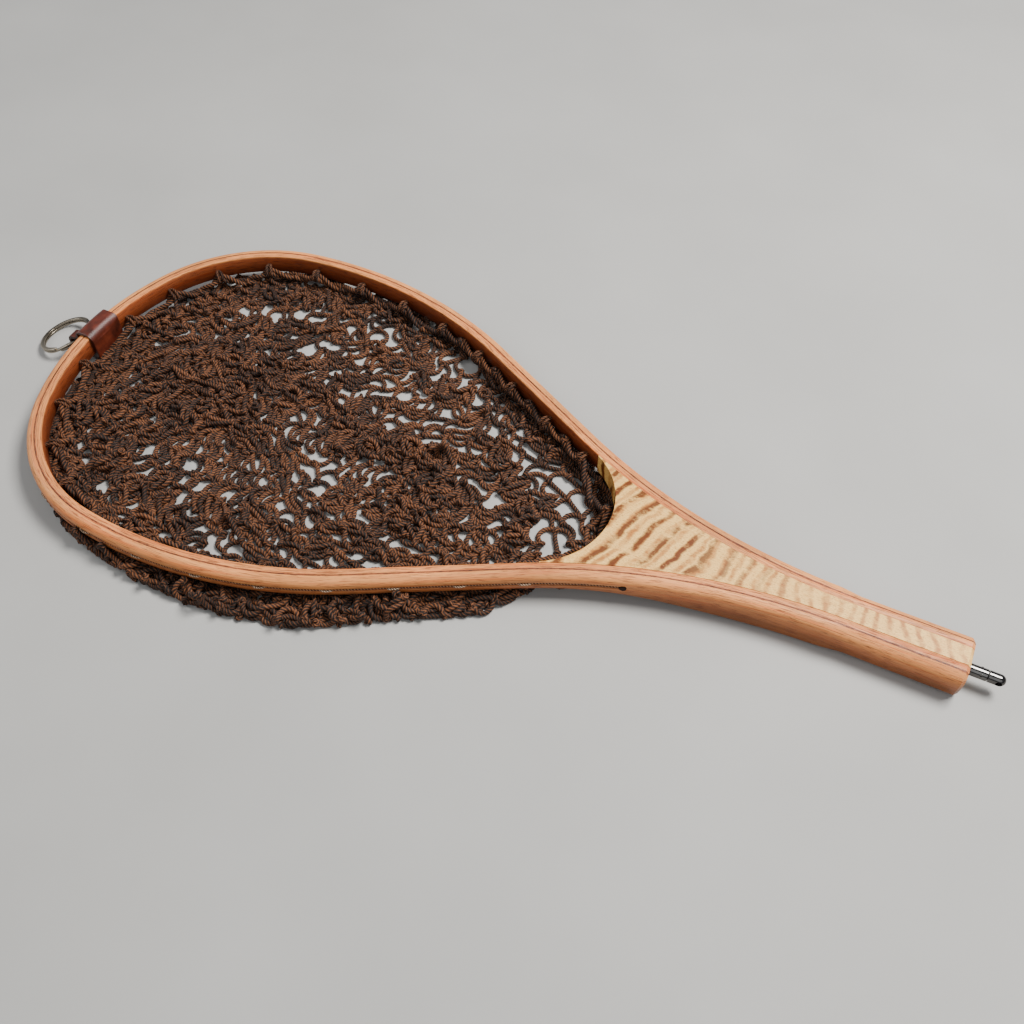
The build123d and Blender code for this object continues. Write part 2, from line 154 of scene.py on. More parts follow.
def frames(paths):
    """Rotation-minimising side and up directions along many paths (m, k, 3) at once."""
    tangent = unit(np.gradient(paths, axis=1))
    side = np.zeros_like(paths)
    start = np.where(np.abs(tangent[:, :1, 2:3]) < 0.8, [0.0, 0.0, 1.0], [1.0, 0.0, 0.0])[:, 0]
    side[:, 0] = unit(np.cross(start, tangent[:, 0]))
    for i in range(1, paths.shape[1]):
        moved = side[:, i - 1] - (side[:, i - 1] * tangent[:, i]).sum(-1, keepdims=True) * tangent[:, i]
        side[:, i] = unit(moved)
    return side, np.cross(tangent, side)


def running(paths):
    """Distance from the start at every point of many paths."""
    return np.concatenate([np.zeros((len(paths), 1)),
                           np.cumsum(np.linalg.norm(np.diff(paths, axis=1), axis=-1), 1)], 1)


def tube_quads(index):
    """Quads between neighbouring rings, from the numbers of their points as (..., ring, around)."""
    nxt = np.roll(index, -1, -1)
    quads = [index[..., :-1, :], nxt[..., :-1, :], nxt[..., 1:, :], index[..., 1:, :]]
    return np.stack(quads, -1).reshape(-1, 4)


def ropes(name, paths, radius, lay, sides, depth, lobes=3, start=0.0, tone=0.0):
    """Twisted ropes along many paths with the same number of points, as one mesh.

    lay is the length of a turn, depth that of the grooves between the lobes as a part of the radius.
    """
    m, k, _ = paths.shape
    side, up = frames(paths)
    run = running(paths)
    around = 2 * np.pi * np.arange(sides) / sides
    lobe = np.cos(lobes * around)
    r = radius * (1 - depth + depth * np.sqrt(np.maximum(0, 0.5 + 0.5 * lobe)))
    angle = around + (2 * np.pi * run / lay + np.reshape(start, (-1, 1)))[..., None]
    ring = side[:, :, None] * (np.cos(angle) * r)[..., None] + up[:, :, None] * (np.sin(angle) * r)[..., None]
    co = paths[:, :, None] + ring
    index = np.arange(m * k * sides).reshape(m, k, sides)
    # 'crest' is 1 on a strand's crest and 0 in the groove between strands; the cord material paints highlight
    # and shade from it
    values = {"crest": 0.5 + 0.5 * lobe, "along": run[..., None], "tone": np.reshape(tone, (-1, 1, 1))}
    return new_mesh(name, co, tube_quads(index), [index[:, 0, ::-1], index[:, -1, :]],
                    {key: np.broadcast_to(value, co.shape[:-1]) for key, value in values.items()})


def spline_weights(controls, count):
    """Weights of a natural cubic spline through evenly spaced controls, at count parameters."""
    n = controls
    a = np.zeros((n, n))
    b = np.zeros((n, n))
    a[0, 0] = a[-1, -1] = 1
    for i in range(1, n - 1):
        a[i, i - 1:i + 2] = (1, 4, 1)
        b[i, i - 1:i + 2] = (6, -12, 6)
    second = np.linalg.solve(a, b)
    t = np.linspace(0, n - 1, count)
    i = np.minimum(t.astype(int), n - 2)
    f = t - i
    w = np.zeros((count, n))
    eye = np.eye(n)
    for row in range(count):
        u, j = f[row], i[row]
        w[row] = (1 - u) * eye[j] + u * eye[j + 1]
        w[row] += ((1 - u) ** 3 - (1 - u)) / 6 * second[j] + (u ** 3 - u) / 6 * second[j + 1]
    return w


# ---- the knotted net (mm)
ROPE, KNOT = 1.28, 1.75      # radii of the cord and of a knot
BAR = 12.8                   # cord between two knots
ROWS = 22
ROW_DROP = 10.4              # height of a row while the net hangs
INNER = 3                    # points on a bar between its knots
HEAD_INSET, FAR_INSET = 3.3, 2.2     # from the opening's edge to the head row, there and on the far side
SIDE_S = [FIRST_HOLE + HOLE_PITCH * k / 2 for k in range(2 * HOLE_COUNT - 1)]
# how far the pile may spill past the opening's edge on the near and the far side, by x
NEAR_SPILL = ([-205, -164, -130, -95, -30, 8, 42, 50], [1.5, 5.5, 9.0, 13.0, 19.0, 15.5, 15.0, 5.0])
FAR_SPILL = ([-205, -90, -60, -36, -12, 20, 50], [1.5, 7.0, 9.0, 20.0, 9.0, 7.0, 4.0])


def head_line():
    """The net's top edge: knots at the holes and halfway between, two at the tip, five in the throat."""
    right, _ = at(SIDE_S, -HEAD_INSET, 1)
    left, _ = at(SIDE_S[::-1], -HEAD_INSET, -1)
    tip = np.array([at(FIRST_HOLE / 3, -HEAD_INSET, side)[0] for side in (-1, 1)])
    end = right[-1]
    y = np.linspace(end[1], -end[1], 7)[1:-1]
    hollow = CORE_END_RADIUS - 3.2
    throat = np.stack([CORE_END_X - CORE_END_RADIUS + np.sqrt(np.maximum(hollow ** 2 - y ** 2, 0)), y], -1)
    far = np.arange(len(right)) % 2 == 1
    far &= right[:, 0] > -60
    right = np.where(far[:, None], at(SIDE_S, -FAR_INSET, 1)[0], right)
    points = np.concatenate([tip, right, throat, left])
    pinned = np.zeros(len(points), bool)
    first = len(tip)
    pinned[first:first + len(right)] = far
    pinned[first:first + len(right):2] = True
    second = first + len(right) + len(throat)
    pinned[second:second + len(left):2] = True
    pinned[first + len(right) + 1] = pinned[first + len(right) + 3] = True
    return points, pinned


def build_net(rng):
    """Points and cords of the net, hanging as a tube that closes along a seam at its bottom.

    Each row of chain is a cord between two knots: 0 a bar of the mesh, 1 of the head row, 2 of the seam.
    """
    head, pinned = head_line()
    n = len(head)
    centre = np.array([-92.0, 4.0])
    knots = np.zeros((ROWS + 1, n, 3))
    closed = np.concatenate([head, head[:1]])
    for r in range(ROWS + 1):
        u = np.arange(n) + 0.5 * (r % 2)
        base = np.stack([np.interp(u, np.arange(n + 1), closed[:, c]) for c in (0, 1)], -1)
        t = r / ROWS
        keep = np.array([1 - 0.52 * t ** 0.8, 1 - 0.62 * t ** 0.8 - 0.33 * t ** 6])
        knots[r, :, :2] = centre + (base - centre) * keep
        knots[r, :, 2] = 8.6 - ROW_DROP * r
    knots[1:] += rng.normal(0, 0.5, knots[1:].shape)
    points = knots.reshape(-1, 3)
    index = np.arange((ROWS + 1) * n).reshape(ROWS + 1, n)
    bars, kinds = [], []
    for r in range(ROWS):
        for j in range(n):
            other = (j - 1) % n if r % 2 == 0 else (j + 1) % n
            bars += [(index[r, j], index[r + 1, j]), (index[r, j], index[r + 1, other])]
            kinds += [0, 0]
    for j in range(n):
        bars.append((index[0, j], index[0, (j + 1) % n]))
        kinds.append(1)
    # the seam joins the last row's two halves, from the tip to the throat
    last = knots[ROWS]
    by_x = sorted(range(n), key=lambda j: last[j, 0])
    for a, b in zip([j for j in by_x if last[j, 1] >= 0], [j for j in by_x if last[j, 1] < 0]):
        bars.append((index[ROWS, a], index[ROWS, b]))
        kinds.append(2)
    bars, kinds = np.array(bars), np.array(kinds)
    total = len(points)
    a, b = points[bars[:, 0]], points[bars[:, 1]]
    inner = total + np.arange(len(bars) * INNER).reshape(-1, INNER)
    mids = [a + (b - a) * (k + 1) / (INNER + 1) for k in range(INNER)]
    mids = np.stack(mids, 1).reshape(-1, 3) + rng.normal(0, 0.25, (len(bars) * INNER, 3))
    points = np.concatenate([points, mids])
    chain = np.concatenate([bars[:, :1], inner, bars[:, 1:]], 1)
    length = np.where(kinds == 0, BAR * rng.uniform(0.93, 1.1, len(bars)), 6.0)
    head_length = np.maximum(np.linalg.norm(a - b, axis=1) * 1.06, 9.0)
    length = np.where(kinds == 1, head_length, length)
    radius = np.full(len(points), ROPE)
    radius[:total] = KNOT
    is_pinned = np.zeros(len(points), bool)
    is_pinned[:n] = pinned
    points[:n, 2] = np.where(pinned, 9.4, 7.6)
    return dict(points=points, chain=chain, kinds=kinds, length=length, radius=radius, pinned=is_pinned,
                knots=total, n=n)


def polygon_inside(px, py, poly):
    """Even-odd test of many points against a closed polygon."""
    inside = np.zeros(px.shape, bool)
    x1, y1 = poly[:, 0], poly[:, 1]
    x2, y2 = np.roll(x1, -1), np.roll(y1, -1)
    for a, b, c, d in zip(x1, y1, x2, y2):
        if b == d:
            continue
        hit = ((b > py) != (d > py)) & (px < (c - a) * (py - b) / (d - b) + a)
        inside ^= hit
    return inside


def distance_grid(poly, xs, ys):
    """Signed distance from a closed polygon on a grid, positive outside."""
    gx, gy = np.meshgrid(xs, ys, indexing="ij")
    flat = np.stack([gx.ravel(), gy.ravel()], -1)
    dense = []
    for a, b in zip(poly, np.roll(poly, -1, 0)):
        count = max(1, int(np.linalg.norm(b - a) / 0.8))
        dense.append(a + (b - a) * (np.arange(count) / count)[:, None])
    dense = np.concatenate(dense)
    best = np.full(len(flat), 1e9)
    for chunk in np.array_split(dense, max(1, len(dense) // 60)):
        d = ((flat[:, None] - chunk[None]) ** 2).sum(-1).min(1)
        best = np.minimum(best, d)
    best = np.sqrt(best)
    inside = polygon_inside(flat[:, 0], flat[:, 1], poly)
    return np.where(inside, -best, best).reshape(gx.shape)


def opening_polygon():
    """The hole of the hoop: both sides of the opening's edge and the core's hollow end."""
    side = LINE[LINE[:, 0] < CORE_END_X][:, :2]
    cx = CORE_END_X - CORE_END_RADIUS
    side = side[(side[:, 0] < cx) | (np.hypot(side[:, 0] - cx, side[:, 1]) < CORE_END_RADIUS)]
    top = math.atan2(side[-1, 1], side[-1, 0] - cx)
    turn = np.linspace(top, -top, 30)[1:-1]
    end = np.stack([cx + CORE_END_RADIUS * np.cos(turn), CORE_END_RADIUS * np.sin(turn)], -1)
    return np.concatenate([side, end, side[::-1] * [1, -1]])


def outer_polygon():
    """The hoop's and the handle's outer edge."""
    outer = LINE[:, :2] + np.stack([-np.sin(LINE[:, 2]), np.cos(LINE[:, 2])], -1) * LAMINATION
    return np.concatenate([outer, outer[::-1] * [1, -1]])


class Wood:
    """The hoop as an obstacle: its plan as two distance fields, and its height."""

    def __init__(self):
        self.step = 1.5
        self.x0, self.y0 = -245.0, -135.0
        xs = np.arange(self.x0, 150, self.step)
        ys = np.arange(self.y0, 136, self.step)
        hole = distance_grid(opening_polygon(), xs, ys)
        outside = distance_grid(outer_polygon(), xs, ys)
        fields = np.stack([hole, -outside], -1)
        gx, gy = np.gradient(fields, self.step, axis=(0, 1))
        self.table = np.concatenate([fields, gx, gy], -1)

    def look(self, p):
        """Both distances and their slopes at points: from the opening, within the outer edge, d/dx, d/dy."""
        u = np.clip((p[:, 0] - self.x0) / self.step, 0, self.table.shape[0] - 1.001)
        v = np.clip((p[:, 1] - self.y0) / self.step, 0, self.table.shape[1] - 1.001)
        i, j = u.astype(int), v.astype(int)
        f, g = (u - i)[:, None], (v - j)[:, None]
        t = self.table
        return ((1 - f) * (1 - g) * t[i, j] + f * (1 - g) * t[i + 1, j]
                + (1 - f) * g * t[i, j + 1] + f * g * t[i + 1, j + 1])

    def push(self, p, radius):
        """Moves points out of the wood by the shortest way: into the opening, outwards, down or up."""
        near = np.nonzero((p[:, 2] > -radius) & (p[:, 2] < TOP + radius))[0]
        if not len(near):
            return
        q, r = p[near], radius[near]
        t = self.look(q)
        low = underside(q[:, 0])
        down = np.where(low > 2.2 * r, q[:, 2] - (low - r), 1e9)
        deep = np.stack([t[:, 0] + r, t[:, 1] + r, down, TOP + r - q[:, 2]], -1)
        hit = deep.min(1) > 0
        if not hit.any():
            return
        way = deep[hit].argmin(1)
        q, t, depth = q[hit], t[hit], deep[hit].min(1)
        move = np.zeros_like(q)
        for k in (0, 1):
            move[way == k, :2] = -unit(t[:, [2 + k, 4 + k]])[way == k] * depth[way == k, None]
        move[way == 2, 2] = -depth[way == 2]
        move[way == 3, 2] = depth[way == 3]
        p[near[hit]] = q + move

    def fence(self, p):
        """Keeps what lies under the hoop from creeping further out than it should."""
        t = self.look(p)
        limit = np.where(p[:, 1] < 0, np.interp(p[:, 0], *NEAR_SPILL), np.interp(p[:, 0], *FAR_SPILL))
        over = t[:, 0] - limit
        hit = over > 0
        p[hit, :2] -= unit(t[hit][:, [2, 4]]) * (over[hit] * 0.5)[:, None]


def neighbours(p, reach, skip):
    """Pairs of points nearer than reach, by a sorted cell list, without those in skip."""
    cell = np.floor(p / reach).astype(np.int64)
    cell -= cell.min(0) - 1
    size = cell.max(0) + 2
    key = (cell[:, 0] * size[1] + cell[:, 1]) * size[2] + cell[:, 2]
    order = np.argsort(key, kind="stable")
    sorted_key = key[order]
    found = []
    for dx in (-1, 0, 1):
        for dy in (-1, 0, 1):
            for dz in (-1, 0, 1):
                step = (dx * size[1] + dy) * size[2] + dz
                if step < 0:
                    continue
                low = np.searchsorted(sorted_key, key + step, "left")
                high = np.searchsorted(sorted_key, key + step, "right")
                count = high - low
                i = np.repeat(np.arange(len(p)), count)
                first = np.cumsum(count) - count
                j = order[np.repeat(low - first, count) + np.arange(len(i))]
                if step == 0:
                    keep = i < j
                    i, j = i[keep], j[keep]
                near = ((p[i] - p[j]) ** 2).sum(-1) < reach * reach
                found.append(np.stack([i[near], j[near]], -1))
    pairs = np.sort(np.concatenate(found), 1)
    code = pairs[:, 0] * len(p) + pairs[:, 1]
    where = np.minimum(np.searchsorted(skip, code), len(skip) - 1)
    return pairs[skip[where] != code]


def joined(net):
    """Codes of the pairs that are one or two steps apart along the cord, which may touch."""
    total = len(net["points"])
    links = [set() for _ in range(total)]
    for row in net["chain"].tolist():
        for a, b in zip(row, row[1:]):
            links[a].add(b)
            links[b].add(a)
    codes = set()
    for a in range(total):
        for b in links[a]:
            for c in links[b] | {b}:
                if a < c:
                    codes.add(a * total + c)
    return np.array(sorted(codes), np.int64)


def simulate(net, steps, iterations):
    """Lets the net hang from the hoop while the floor comes up under it, so that it lands and crumples."""
    wood = Wood()
    skip = joined(net)
    p = net["points"].copy()
    v = np.zeros_like(p)
    total = len(p)
    radius = net["radius"]
    chain, length = net["chain"], net["length"]
    parts = chain.shape[1] - 1
    segment = (chain[:, :-1].ravel(), chain[:, 1:].ravel(), np.repeat(length / parts, parts))
    # cord resists bending and folding: its next-but-one points and its two knots stay this far apart
    bend = (chain[:, :-2].ravel(), chain[:, 2:].ravel(), np.repeat(length / parts * 2 * 0.97, parts - 1))
    spread = (chain[:, 0], chain[:, -1], np.minimum(length * 0.74, 9.6))
    pins = np.nonzero(net["pinned"])[0]
    home = p[pins].copy()
    weight = np.ones(total)
    weight[pins] = 0.0
    fall = 0.62                      # part of the run in which the floor comes up
    depth = ROWS * 10.7 + 4          # the floor's first depth
    gravity = np.array([0, 0, -0.05])
    drag, speed_limit, relaxation = 0.965, 1.0, 1.25
    row = np.zeros(total)
    row[:net["knots"]] = np.repeat(np.arange(ROWS + 1), net["n"])
    for k in range(1, parts):
        row[chain[:, k]] = row[chain[:, 0]] + k / parts * (net["kinds"] == 0)

    def solve(i, j, target, one_sided, strength=1.0):
        """Adds the moves that bring pairs to their distance, or only apart to it, to acc and cnt."""
        d = q[i] - q[j]
        dist = np.sqrt((d * d).sum(-1)) + 1e-9
        gap = target - dist
        if one_sided:
            live = gap > 0
            i, j, d, dist, gap = i[live], j[live], d[live], dist[live], gap[live]
        wi, wj = weight[i], weight[j]
        w = wi + wj
        w = np.where(w == 0, 1, w)
        move = d * (gap / dist / w * strength)[:, None]
        both = np.concatenate([i, j])
        value = np.concatenate([move * wi[:, None], -move * wj[:, None]])
        for c in range(3):
            acc[:, c] += np.bincount(both, value[:, c], total)
        cnt[:] += np.bincount(both, minlength=total)

    for step in range(steps):
        t = step / steps
        floor, slide = 0.0, np.zeros(2)
        v += gravity
        if t < fall:
            # the floor also slides about, which folds the net, and the upper rows are eased outwards
            floor = -depth * (1 - min(1, t / fall))
            u = 2 * np.pi * t / fall
            slide = np.array([12 * 2.0 * math.cos(2.0 * u), 10 * 3.0 * math.sin(3.0 * u) - 1.0])
            slide = slide * 2 * np.pi / fall / steps
            edge = wood.look(p)[:, 0]
            near_side = (p[:, 1] < 0) & (row > 1.5) & (row < 6.2) & (p[:, 2] < 4) & (np.abs(edge) < 14)
            v[near_side, 1] -= 0.035
            far_side = (p[:, 1] > 20) & (row > 0.5) & (row < 6) & (p[:, 2] < 7) & (edge < 6)
            v[far_side, 1] += 0.02
        speed = np.linalg.norm(v, axis=1, keepdims=True)
        v *= np.minimum(1, speed_limit / np.maximum(speed, 1e-9)) * drag
        q = p + v
        q[pins] = home
        if step % 5 == 0:
            pairs = neighbours(q, 2 * ROPE + 1.7, skip)
            contact = (radius[pairs[:, 0]] + radius[pairs[:, 1]]) * 0.97
        for it in range(iterations):
            acc = np.zeros((total, 3))
            cnt = np.zeros(total)
            touching = it % 2 == 1 or it == iterations - 1
            solve(*segment, False)
            if it % 2 == 0:
                solve(*bend, True, 0.9)
                solve(*spread, True, 0.8)
            if touching:
                solve(pairs[:, 0], pairs[:, 1], contact, True)
            q += relaxation * acc / np.maximum(cnt, 1)[:, None]
            if touching:
                q[:, 2] = np.maximum(q[:, 2], floor + radius)
                wood.push(q, radius)
                wood.fence(q)
            q[pins] = home
        v = q - p
        ground = q[:, 2] < floor + radius + 0.25
        v[ground, :2] = slide + (v[ground, :2] - slide) * 0.25
        v[~ground & (q[:, 2] < floor + 14), :2] *= 0.88
        if t > 0.9:
            v *= 0.9
        p = q
    net["points"] = p


# ---- materials
def new_node(tree, kind, links=None, **settings):
    """A node with its inputs linked, and its inputs' values or its own properties set."""
    node = tree.nodes.new("ShaderNode" + kind)
    for key, value in settings.items():
        if key in node.inputs.keys():
            node.inputs[key].default_value = value
        else:
            setattr(node, key, value)
    for key, source in (links or {}).items():
        tree.links.new(source, node.inputs[key])
    return node


def mat(name, roughness):
    """A new material, its node tree, its shader and a function that links to the shader."""
    material = bpy.data.materials.new(name)
    material.use_nodes = True
    tree = material.node_tree
    shader = tree.nodes["Principled BSDF"]
    shader.inputs["Roughness"].default_value = roughness
    return material, tree, shader, lambda source, socket: tree.links.new(source, shader.inputs[socket])


def srgb(r, g, b):
    """A linear colour from 8-bit display values."""
    out = []
    for c in (r, g, b):
        c /= 255
        out.append(c / 12.92 if c <= 0.04045 else ((c + 0.055) / 1.055) ** 2.4)
    return (*out, 1.0)


def ramp(source, stops):
    """A colour ramp through (place, colour or grey) stops."""
    node = new_node(source.id_data, "ValToRGB", {"Fac": source})
    while len(node.color_ramp.elements) < len(stops):
        node.color_ramp.elements.new(0.5)
    for element, (place, colour) in zip(node.color_ramp.elements, stops):
        element.position = place
        element.color = colour if isinstance(colour, tuple) else (colour, colour, colour, 1)
    return node.outputs["Color"]


def feed(node, sockets, values):
    """Numbers and colours go into the sockets, outputs of other nodes are linked to them."""
    for socket, value in zip(sockets, values):
        if isinstance(value, (int, float, tuple)):
            socket.default_value = value
        else:
            node.id_data.links.new(value, socket)


def math_node(operation, *values):
    tree = [v for v in values if not isinstance(v, (int, float))][0].id_data
    node = new_node(tree, "Math", operation=operation)
    feed(node, node.inputs, values)
    return node.outputs[0]


def plus(a, b):
    return math_node("ADD", a, b)


def minus(a, b):
    return math_node("SUBTRACT", a, b)


def times(a, b):
    return math_node("MULTIPLY", a, b)


def over(a, b):
    return math_node("DIVIDE", a, b)


def wave(source):
    """A sine between 0 and 1."""
    return plus(times(math_node("SINE", source), 0.5), 0.5)


def attribute(tree, name):
    return new_node(tree, "Attribute", attribute_name=name).outputs["Fac"]


def position(tree):
    """The place on the object, in metres."""
    return new_node(tree, "TexCoord").outputs["Object"]


def stretched(vector, *factors):
    node = new_node(vector.id_data, "VectorMath", {0: vector}, operation="MULTIPLY")
    node.inputs[1].default_value = factors
    return node.outputs[0]


def noise(vector, scale, detail, roughness=0.5):
    return new_node(vector.id_data, "TexNoise", {"Vector": vector}, Scale=scale, Detail=detail,
                    Roughness=roughness).outputs["Fac"]


def mix(a, b, factor, blend="MIX"):
    node = new_node(a.id_data, "Mix", data_type="RGBA", blend_type=blend)
    amount = [i for i in node.inputs if i.enabled and i.type == "VALUE"]
    colours = [i for i in node.inputs if i.enabled and i.type == "RGBA"]
    feed(node, amount + colours, (factor, a, b))
    return [o for o in node.outputs if o.enabled and o.type == "RGBA"][0]


def bump(link, height, distance, strength):
    node = new_node(height.id_data, "Bump", {"Height": height}, Strength=strength, Distance=distance)
    link(node.outputs["Normal"], "Normal")


def gloss(shader, coat, coat_roughness, specular):
    shader.inputs["Coat Weight"].default_value = coat
    shader.inputs["Coat Roughness"].default_value = coat_roughness
    shader.inputs["Specular IOR Level"].default_value = specular


def wood_material(name, light, deep, dark, line=0.0, scale=1.0):
    """Straight-grained wood that follows the bend: fine pores and streaks along the attribute 'along', with
    painted shade on the face towards the opening and towards the floor.
    """
    material, tree, shader, link = mat(name, 0.42)
    across, height = attribute(tree, "across"), attribute(tree, "height")
    along = attribute(tree, "along")
    vector = new_node(tree, "CombineXYZ", {"X": along, "Y": across, "Z": height}).outputs[0]
    streak = noise(stretched(vector, 0.012 * scale, 0.55, 0.42), 1.0, 5.0, 0.62)
    pores = noise(stretched(vector, 0.16 * scale, 4.2, 3.4), 1.0, 2.0, 0.55)
    fibre = noise(stretched(vector, 0.05 * scale, 7.5, 6.5), 1.0, 3.0, 0.7)
    cloud = noise(stretched(vector, 0.02, 0.08, 0.06), 1.0, 3.0)
    base = ramp(streak, [(0.30, deep), (0.50, light), (0.72, deep)])
    base = mix(base, ramp(cloud, [(0.35, 0.62), (0.65, 1.0)]), 0.7, "MULTIPLY")
    tick = ramp(pores, [(0.0, 1.0), (0.36 + line, 1.0), (0.44 + line, 0.0)])
    base = mix(base, dark, times(tick, 0.75))
    base = mix(base, ramp(fibre, [(0.38, 0.42), (0.60, 1.0)]), 0.45, "MULTIPLY")
    white = (1.0, 1.0, 1.0, 1)
    # painted shade: darker and redder on the face towards the opening, but not on the level top
    level = over(height, TOP)
    inside = ramp(across, [(0.25, (0.42, 0.28, 0.29, 1)), (0.75, white)])
    top = ramp(level, [(0.93, 0.0), (0.985, 1.0)])
    base = mix(base, mix(inside, white, top), 1.0, "MULTIPLY")
    # and painted shade towards the floor
    low = ramp(level, [(0.38, (0.20, 0.13, 0.13, 1)), (0.62, (0.52, 0.40, 0.38, 1)), (0.90, white)])
    base = mix(base, low, 0.8, "MULTIPLY")
    link(base, "Base Color")
    link(plus(times(fibre, 0.22), 0.34), "Roughness")
    bump(link, minus(times(fibre, 0.5), tick), 0.00006, 0.7)
    gloss(shader, 0.06, 0.28, 0.3)
    return material


def core_material():
    """Pale figured wood: fine ripple bars across, broad brown flames near the throat, speckle."""
    material, tree, shader, link = mat("figured_wood", 0.4)
    parts = new_node(tree, "SeparateXYZ", {0: position(tree)})
    x, y, z = (times(parts.outputs[axis], 1000.0) for axis in "XYZ")
    mm = new_node(tree, "CombineXYZ", {"X": x, "Y": y, "Z": z}).outputs[0]
    warp = noise(stretched(mm, 0.045, 0.07, 0.07), 1.0, 4.0, 0.55)
    broken = noise(stretched(mm, 0.10, 0.16, 0.1), 1.0, 4.0, 0.7)
    fibre = noise(stretched(mm, 0.35, 3.0, 2.0), 1.0, 4.0, 0.7)
    speck = noise(mm, 1.3, 4.0, 0.8)
    dash = noise(stretched(mm, 0.6, 2.6, 2.0), 1.0, 2.0, 0.6)
    near = ramp(over(minus(x, 60.0), 160.0), [(0.30, 1.0), (0.62, 0.0)])
    slope = times(y, minus(0.26, times(near, 0.66)))
    phase = plus(plus(x, slope), times(minus(warp, 0.5), 9.0))
    bars = wave(times(phase, 2 * math.pi / 5.4))
    broad = wave(plus(times(phase, 2 * math.pi / 8.6), 0.8))
    base = ramp(fibre, [(0.25, srgb(230, 160, 76)), (0.6, srgb(255, 208, 124))])
    ripple = times(ramp(bars, [(0.42, 0.0), (0.95, 1.0)]),
                   ramp(broken, [(0.32, 0.1), (0.6, 1.0)]))
    base = mix(base, srgb(176, 102, 40), times(ripple, 0.85))
    flame = times(ramp(broad, [(0.62, 0.0), (0.93, 1.0)]), near)
    flame = times(flame, ramp(broken, [(0.34, 0.0), (0.52, 1.0)]))
    base = mix(base, srgb(104, 48, 16), times(flame, 0.95))
    base = mix(base, ramp(speck, [(0.34, 0.5), (0.52, 1.0)]), 0.5, "MULTIPLY")
    base = mix(base, srgb(126, 72, 32), times(ramp(dash, [(0.34, 1.0), (0.42, 0.0)]), 0.6))
    link(base, "Base Color")
    bump(link, plus(fibre, bars), 0.00005, 0.5)
    gloss(shader, 0.05, 0.25, 0.25)
    return material


def rope_material(name, light, middle, dark, fibre_scale=1.0):
    """Laid cord: painted highlight on the strand crests, painted shade in the grooves, fine fibres along each
    strand, patchy tone.
    """
    material, tree, shader, link = mat(name, 0.78)
    place = position(tree)
    fuzz = noise(place, 2600.0 * fibre_scale, 3.0, 0.7)
    patch = noise(place, 75.0, 3.0, 0.6)
    # the colour follows the attribute 'crest' as painted highlight and painted shade, mixed with fibre fuzz,
    # patches and a random tone per cord
    level = plus(attribute(tree, "crest"), times(minus(fuzz, 0.5), 0.7))
    level = plus(level, times(minus(patch, 0.5), 0.5))
    level = plus(level, times(attribute(tree, "tone"), 0.22))
    link(ramp(level, [(0.22, dark), (0.60, middle), (1.0, light)]), "Base Color")
    link(plus(times(fuzz, 0.3), 0.55), "Roughness")
    waves = math_node("SINE", times(attribute(tree, "along"), 9.0))
    bump(link, plus(fuzz, times(waves, 0.15)), 0.00016, 0.8)
    shader.inputs["Sheen Weight"].default_value = 0.06
    shader.inputs["Sheen Roughness"].default_value = 0.4
    shader.inputs["Specular IOR Level"].default_value = 0.3
    return material


def leather_material():
    """Red-brown leather: pebbled, cloudy, dark on its cut edges (attribute 'edge')."""
    material, tree, shader, link = mat("leather", 0.5)
    place = position(tree)
    pebble = new_node(tree, "TexVoronoi", {"Vector": place}, Scale=2300.0).outputs["Distance"]
    soft = noise(place, 150.0, 5.0, 0.65)
    fine = noise(place, 3500.0, 2.0)
    base = ramp(soft, [(0.30, srgb(52, 19, 10)), (0.55, srgb(90, 34, 18)), (0.75, srgb(114, 50, 28))])
    base = mix(base, srgb(46, 18, 13), times(attribute(tree, "edge"), 0.85))
    base = mix(base, ramp(pebble, [(0.0, 0.82), (0.5, 1.0)]), 0.6, "MULTIPLY")
    link(base, "Base Color")
    link(plus(times(soft, 0.3), 0.28), "Roughness")
    bump(link, plus(pebble, times(fine, 0.4)), 0.00008, 0.6)
    gloss(shader, 0.05, 0.35, 0.5)
    return material


def metal_material(name, bright, dim, roughness, scratch=0.2):
    """Polished or plated metal with faint turned scratches, smudges and worn patches."""
    material, tree, shader, link = mat(name, roughness)
    place = position(tree)
    smear = noise(place, 90.0, 3.0)
    link(ramp(smear, [(0.35, dim), (0.65, bright)]), "Base Color")
    link(plus(times(smear, scratch), roughness), "Roughness")
    bump(link, noise(stretched(place, 3000.0, 300.0, 300.0), 1.0, 2.0), 0.00001, 0.12)
    shader.inputs["Metallic"].default_value = 1.0
    return material


# ---- pieces
def apply_modifiers(obj):
    depsgraph = bpy.context.evaluated_depsgraph_get()
    mesh = bpy.data.meshes.new_from_object(obj.evaluated_get(depsgraph))
    obj.modifiers.clear()
    obj.data = mesh
    return obj


def finish_piece(obj, material, body="frame", replaced=()):
    obj.data.materials.clear()
    obj.data.materials.append(material)
    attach(obj, body)
    if replaced:
        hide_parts(*replaced)
    return obj


# ---- wood
def inside_grip(co, butt_half):
    """Points on the handle held inside its rounded section, which is chamfered at the butt."""
    x, y, z = co[..., 0], co[..., 1], co[..., 2]
    u = np.clip((x - GRIP_START) / (GRIP_FULL - GRIP_START), 0, 1)
    bevel = np.clip(x - (BUTT_X - BUTT_BEVEL), 0, BUTT_BEVEL)
    half = GRIP_START_HALF + (butt_half - GRIP_START_HALF) * u
    radius = GRIP_ROUND_START + (GRIP_ROUND - GRIP_ROUND_START) * u
    y = np.where(bevel > 0, np.clip(y, bevel - half, half - bevel), y)
    z = np.where(bevel > 0, np.clip(z, bevel, TOP - bevel), z)
    centre_y = np.sign(y) * (half - radius)
    centre_z = np.clip(z, radius, TOP - radius)
    out_y, out_z = y - centre_y, z - centre_z
    reach = np.hypot(out_y, out_z)
    cut = (x > GRIP_START) & (np.sign(y) * out_y > 0) & (reach > radius - bevel)
    shrink = np.where(cut, (radius - bevel) / np.maximum(reach, 1e-6), 1.0)
    y = np.where(cut, centre_y + out_y * shrink, y)
    z = np.where(cut, centre_z + out_z * shrink, z)
    return np.stack([x, y, z], -1)


